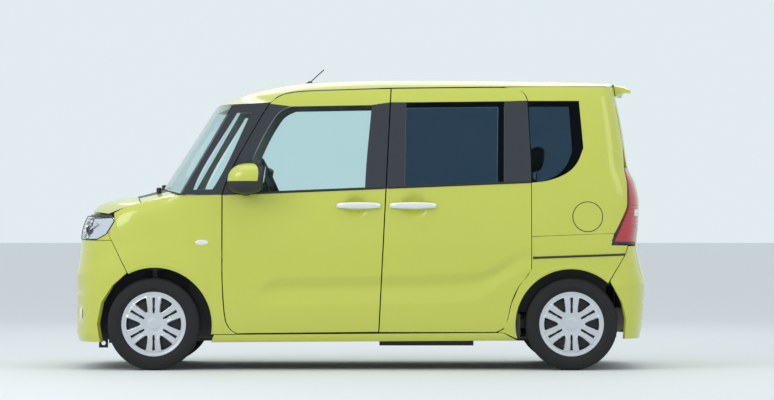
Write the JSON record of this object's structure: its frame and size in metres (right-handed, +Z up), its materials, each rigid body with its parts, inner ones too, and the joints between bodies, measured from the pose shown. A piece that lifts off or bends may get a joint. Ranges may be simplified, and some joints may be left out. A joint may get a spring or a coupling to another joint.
{
  "type": "kei car, tall box wagon",
  "caption": "Tall box-shaped kei car in lemon yellow with sliding rear doors, hinged front doors, bonnet, tailgate and fuel lid, steered front wheels and a furnished cabin.",
  "frame": {"origin": "on the ground under the middle of the car's length and width", "axes": "+X to the rear of the car, +Y to its right side, +Z up"},
  "size_m": [3.395, 1.8764, 1.7992],
  "materials": {
    "body_paint": "lemon yellow clear-coated paint",
    "gloss_black": "gloss black",
    "black_plastic": "grained black plastic",
    "clear_glass": "pale green tinted glass",
    "privacy_glass": "dark privacy glass",
    "headlamp_lens": "clear lens over bright reflectors",
    "tail_lamp_lens": "red lens",
    "chassis_steel": "dark coated steel",
    "engine_alloy": "cast alloy",
    "exhaust_steel": "heat-dulled steel",
    "tank_plastic": "moulded plastic",
    "dash_plastic": "soft grained plastic",
    "seat_cloth": "woven seat cloth",
    "tyre_rubber": "black rubber",
    "wheel_silver": "silver painted wheel cover"
  },
  "bodies": {
    "root": {"roof": "body_paint", "sills": "body_paint", "quarter_upper": "body_paint", "quarter_lower": "body_paint", "front_fenders": "body_paint", "front_bumper": "body_paint", "rear_bumper": "body_paint", "sliding_doors": "body_paint", "a_pillars": "gloss_black", "b_pillars": "gloss_black", "grille": "gloss_black", "cowl": "black_plastic", "wipers": "black_plastic", "antenna": "black_plastic", "plate_holder": "black_plastic", "wheel_wells": "black_plastic", "windscreen": "clear_glass", "side_glass": "privacy_glass", "headlamps": "headlamp_lens", "tail_lamps": "tail_lamp_lens", "hinge_pins": "chassis_steel", "floor_pan": "chassis_steel", "firewall": "chassis_steel", "front_aprons": "chassis_steel", "front_subframe": "chassis_steel", "rear_axle": "chassis_steel", "engine_block": "engine_alloy", "exhaust": "exhaust_steel", "fuel_tank": "tank_plastic", "dashboard": "dash_plastic", "front_seats": "seat_cloth", "rear_seat": "seat_cloth"},
    "front_door_left": {"front_door_left": "body_paint", "front_door_glass_left": "clear_glass", "mirror_left": "black_plastic"},
    "front_door_right": {"front_door_right": "body_paint", "front_door_glass_right": "clear_glass", "mirror_right": "black_plastic"},
    "bonnet": {"bonnet": "body_paint"},
    "tailgate": {"tailgate": "body_paint", "tailgate_glass": "privacy_glass", "rear_spoiler": "body_paint", "rear_wiper": "black_plastic"},
    "fuel_lid": {"fuel_lid": "body_paint"},
    "knuckle_left": {"knuckle_left": "chassis_steel"},
    "knuckle_right": {"knuckle_right": "chassis_steel"},
    "steering_wheel": {"steering_wheel": "dash_plastic"},
    "wheel_front_left": {"tyre_front_left": "tyre_rubber", "rim_front_left": "wheel_silver"},
    "wheel_front_right": {"tyre_front_right": "tyre_rubber", "rim_front_right": "wheel_silver"},
    "wheel_rear_left": {"tyre_rear_left": "tyre_rubber", "rim_rear_left": "wheel_silver"},
    "wheel_rear_right": {"tyre_rear_right": "tyre_rubber", "rim_rear_right": "wheel_silver"}
  },
  "joints": [
    {"name": "front_door_left_hinge", "type": "hinge", "parent": "root", "child": "front_door_left", "pos_m": [-0.8105, -0.7375, 0.64], "axis": [0, 0, -1], "range_deg": [0, 65]},
    {"name": "front_door_right_hinge", "type": "hinge", "parent": "root", "child": "front_door_right", "pos_m": [-0.8105, 0.7375, 0.64], "axis": [0, 0, 1], "range_deg": [0, 65]},
    {"name": "bonnet_hinge", "type": "hinge", "parent": "root", "child": "bonnet", "pos_m": [-1.3365, 0, 1.0275], "axis": [0, 1, 0], "range_deg": [0, 50]},
    {"name": "tailgate_hinge", "type": "hinge", "parent": "root", "child": "tailgate", "pos_m": [1.5145, 0, 1.702], "axis": [0, -1, 0], "range_deg": [0, 85]},
    {"name": "fuel_lid_hinge", "type": "hinge", "parent": "root", "child": "fuel_lid", "pos_m": [1.252, -0.73132, 0.904], "axis": [0, 0, -1], "range_deg": [0, 80]},
    {"name": "steer_left", "type": "hinge", "parent": "root", "child": "knuckle_left", "pos_m": [-1.2135, -0.54, 0.272], "axis": [0, 0, 1], "range_deg": [-35, 35]},
    {"name": "steer_right", "type": "hinge", "parent": "root", "child": "knuckle_right", "pos_m": [-1.2135, 0.54, 0.272], "axis": [0, 0, 1], "range_deg": [-35, 35]},
    {"name": "steering_wheel_turn", "type": "hinge", "parent": "root", "child": "steering_wheel", "pos_m": [-0.5405, 0.34, 1.095], "axis": [0.9063, 0, 0.4226], "range_deg": [-490, 490]},
    {"name": "wheel_front_left_spin", "type": "hinge", "parent": "knuckle_left", "child": "wheel_front_left", "pos_m": [-1.2135, -0.648, 0.272], "axis": [0, -1, 0], "continuous": true},
    {"name": "wheel_front_right_spin", "type": "hinge", "parent": "knuckle_right", "child": "wheel_front_right", "pos_m": [-1.2135, 0.648, 0.272], "axis": [0, -1, 0], "continuous": true},
    {"name": "wheel_rear_left_spin", "type": "hinge", "parent": "root", "child": "wheel_rear_left", "pos_m": [1.2465, -0.648, 0.272], "axis": [0, -1, 0], "continuous": true},
    {"name": "wheel_rear_right_spin", "type": "hinge", "parent": "root", "child": "wheel_rear_right", "pos_m": [1.2465, 0.648, 0.272], "axis": [0, -1, 0], "continuous": true}
  ],
  "couplings": [
    {"joint": "steer_right", "follows": "steer_left", "ratio": 1},
    {"joint": "steering_wheel_turn", "follows": "steer_left", "ratio": 14}
  ]
}
